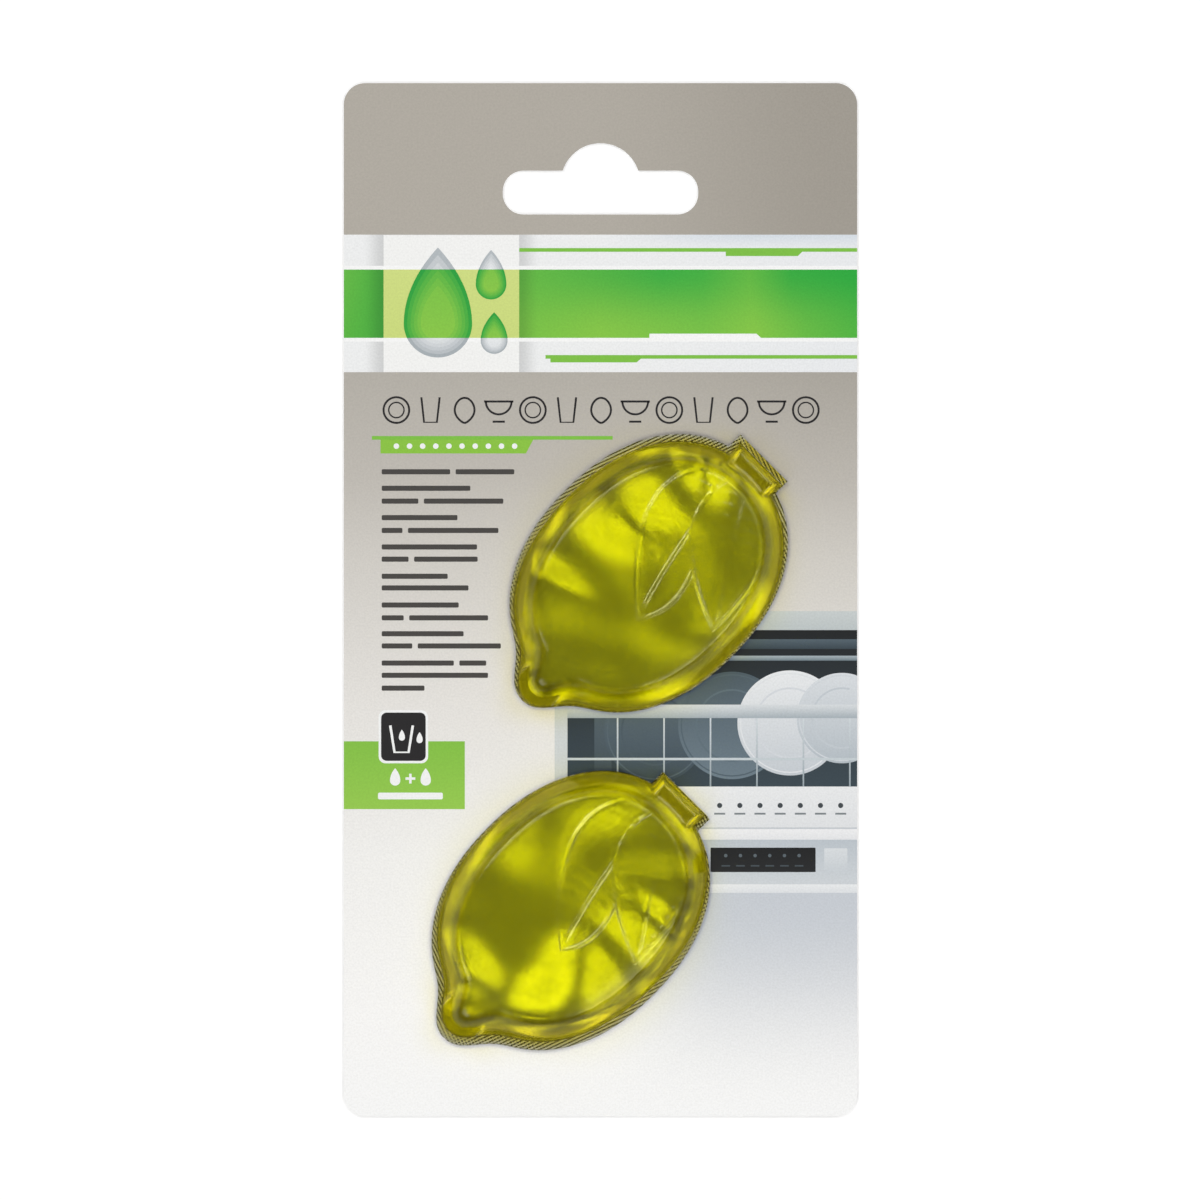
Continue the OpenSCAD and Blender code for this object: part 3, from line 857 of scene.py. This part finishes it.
cloudy = add(tree, "ShaderNodeMixShader", {0: GEL_CLOUD, 1: clear.outputs[0], 2: cloud.outputs[0]})
lit = add(tree, "ShaderNodeBsdfTransparent", {"Color": to_linear("F9F9ED")})
mixed = add(tree, "ShaderNodeMixShader", {0: path.outputs["Is Shadow Ray"], 1: cloudy.outputs[0],
                                          2: lit.outputs[0]})
tint = add(tree, "ShaderNodeVolumeAbsorption", {"Color": to_linear("FEFE27"), "Density": 1000.0})
add(tree, "ShaderNodeOutputMaterial", {"Surface": mixed.outputs[0], "Volume": tint.outputs[0]})

# Rolled aluminium foil: a silvery satin mirror that is crumpled under the gel. The sealing tool presses a
# knurl into its rim, where it shines more. A real knurl is about 0.5 mm, and 0.72 mm is what the render
# shows.
KNURL_PITCH = 0.72 * MM
KNURL_DEPTH = 0.26 * MM
KNURL_TURN = math.radians(20)
silver_foil = new_material("aluminium_foil")
tree = silver_foil.node_tree
place = add(tree, "ShaderNodeTexCoord")
turned = add(tree, "ShaderNodeMapping", {"Vector": place.outputs["Object"], "Rotation": (0, 0, KNURL_TURN)})
axes = add(tree, "ShaderNodeSeparateXYZ", {0: turned.outputs[0]})
waves = []
for axis in (0, 1):
    phase = add(tree, "ShaderNodeMath", {0: axes.outputs[axis], 1: 2 * math.pi / KNURL_PITCH},
                operation="MULTIPLY")
    waves.append(add(tree, "ShaderNodeMath", {0: phase.outputs[0]}, operation="SINE").outputs[0])
seal = add(tree, "ShaderNodeAttribute", attribute_name="seal")
knurl = add(tree, "ShaderNodeMath", {0: waves[0], 1: waves[1]}, operation="MULTIPLY")
knurl = add(tree, "ShaderNodeMath", {0: knurl.outputs[0], 1: seal.outputs["Fac"]}, operation="MULTIPLY")
noise, fine = grain_bump(tree, 0.25, 0.01)
bump = add(tree, "ShaderNodeBump", {"Height": knurl.outputs[0], "Distance": KNURL_DEPTH, "Strength": 1.0,
                                    "Normal": fine.outputs[0]})
sheen = add(tree, "ShaderNodeMapRange", {0: seal.outputs["Fac"], 1: 0.0, 2: 1.0, 3: 0.25, 4: 0.14})
metal = add(tree, "ShaderNodeBsdfPrincipled", {
    "Base Color": to_linear("D6D5CB"), "Metallic": 1.0, "Roughness": sheen.outputs[0],
    "Normal": bump.outputs[0],
})
add(tree, "ShaderNodeOutputMaterial", {"Surface": metal.outputs[0]})

# Removable hot-melt glue: a pale, waxy and slightly translucent dot between foil and card.
glue = new_material("removable_glue")
tree = glue.node_tree
noise, bump = grain_bump(tree, 0.8, 0.03)
soft = add(tree, "ShaderNodeBsdfPrincipled", {"Base Color": to_linear("E8E2CC"), "Roughness": 0.3,
                                              "Subsurface Weight": 0.3, "Normal": bump.outputs[0]})
add(tree, "ShaderNodeOutputMaterial", {"Surface": soft.outputs[0]})

# The lid's folds inside each seal, which are the bright faces that show through the gel: the middle of the
# face along and across the lemon, the turn of the fold's line, the face's width, half the fold's length and
# its rise.
FOLDS = {
    "upper": [
        (5.4, 7.5, 86, 2.8, 8.9, 0.73), (-10.0, 10.1, 107, 3.3, 7.4, 1.03), (9.8, 7.6, 90, 4.9, 10.7, 1.6),
        (21.0, 8.6, 145, 3.0, 3.7, 1.46), (0.6, -2.4, 97, 5.1, 7.3, 0.91), (2.4, -12.1, 138, 4.6, 6.0, 1.07),
    ],
    "lower": [
        (-16.7, 4.9, 96, 4.6, 6.1, 1.41), (-12.9, -9.1, 126, 4.6, 8.8, 1.5), (-2.3, -6.7, 96, 4.4, 5.6, 1.14),
        (9.5, -11.2, 96, 3.1, 8.9, 1.46), (13.8, -4.6, 122, 3.6, 7.5, 0.95), (8.9, 11.2, 108, 4.6, 6.9, 0.99),
        (15.4, 14.1, 126, 3.2, 8.8, 1.19), (-7.8, -8.7, 126, 4.6, 8.4, 1.5),
    ],
}
# Each fold's gentle back is wider, its crest lies a share of the face's width from the face's middle, and all
# folds fade out over the last share of the way to the seal.
FOLD_BACK = 6.0
CREST_SHIFT = 0.7
FOLD_END = 0.2
# Finer crumples, each one wave over the lid: length and turn of the wave, its height and its start.
CRUMPLES = ((11.4, 12, 0.05, 0.3), (8.3, 35, 0.025, 1.9), (13.5, 130, 0.07, 4.0))


def foil_wave(capsule, p, edge_share):
    """Height of the lid's folds and crumples over its flat seal."""
    height = np.zeros(len(p))
    for u, v, turn, wide, long, rise in FOLDS[capsule]:
        turn = math.radians(turn)
        q = p - [u, v]
        across = q[:, 0] * math.sin(turn) - q[:, 1] * math.cos(turn)
        along = q[:, 0] * math.cos(turn) + q[:, 1] * math.sin(turn)
        from_crest = across + CREST_SHIFT * wide
        face = np.where(from_crest > 0, wide, FOLD_BACK)
        height += rise * np.exp(-(from_crest / face) ** 2 - (along / long) ** 2)
    for length, turn, high, start in CRUMPLES:
        turn = math.radians(turn)
        way = p[:, 0] * math.cos(turn) + p[:, 1] * math.sin(turn)
        height += high * np.sin(2 * math.pi * way / length + start)
    return height * smooth((1 - edge_share) / FOLD_END)


LID_RINGS = 60
GEL_RINGS = 40
for capsule in CAPSULES:
    # The shell: outer skin, flange edge and inner skin in one closed wall.
    flange = outline(FLANGE_W)[0] + CAPSULES[capsule]["cut"]
    n = len(flange)
    top = FLANGE_Z + SHEET_T
    outside = dome_rings(0, top, top, steps=16, rings=130)
    inside = dome_rings(WALL_T, FLANGE_Z, top - WALL_T, steps=12, rings=45)
    flat = SHOULDER_W + CROWN_DEPTH
    rings = inside[::-1] + [(flange, np.full(n, FLANGE_Z), flat), (flange, np.full(n, top), flat)] + outside
    middle = np.zeros((1, 2))
    peak = SHOULDER_H + crown(middle)[0] + relief(middle)[0]
    shell = closed_skin(capsule + "_clear_shell", top - WALL_T + peak, rings, top + peak, capsule,
                        tints=[painted_shade_and_amber(ring[0], ring[2]) for ring in rings])
    shell.data.materials.append(clear_pet)
    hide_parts(capsule + "_shell")

    # The gel fills the shell to a hair's breadth, and its underside lies in the lid's folds.
    roof = top - WALL_T - GEL_GAP
    skin = dome_rings(WALL_T + GEL_GAP, FLANGE_Z, roof, steps=16, rings=110)
    base, _ = outline(FILLET + FILLET_GAIN - WALL_T - GEL_GAP)
    below = []
    for k in range(1, GEL_RINGS):
        p = base * (k / GEL_RINGS)
        below.append((p, FLANGE_Z + foil_wave(capsule, p, k / GEL_RINGS) - LID_GAP))
    bottom = FLANGE_Z + foil_wave(capsule, middle, 0)[0]
    gel = closed_skin(capsule + "_scented_gel", bottom - LID_GAP, below + skin, roof + peak, capsule)
    gel.data.materials.append(yellow_gel)
    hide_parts(capsule + "_gel")

    # The lid: a flat underside, the flange's edge, and the folded side under the gel.
    under = []
    over = []
    for k in range(1, LID_RINGS + 1):
        p = base * (k / LID_RINGS)
        under.append((p, np.full(n, FOIL_Z)))
        over.append((p, FLANGE_Z + foil_wave(capsule, p, k / LID_RINGS)))
    edge = [(flange, np.full(n, FOIL_Z)), (flange, np.full(n, FLANGE_Z - FLANGE_GAP))]
    pressed = [0.0] * LID_RINGS + [1.0] * 3 + [0.0] * (LID_RINGS - 1)
    foil = closed_skin(capsule + "_crumpled_foil", FOIL_Z, under + edge + over[::-1], bottom, capsule, pressed)
    foil.data.materials.append(silver_foil)
    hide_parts(capsule + "_foil", capsule + "_membrane")

    # The glue dots are the model's own.
    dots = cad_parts[capsule + "_glue_dots"]
    dots.data.materials.clear()
    dots.data.materials.append(glue)

# The finished pack's box.
low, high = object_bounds()
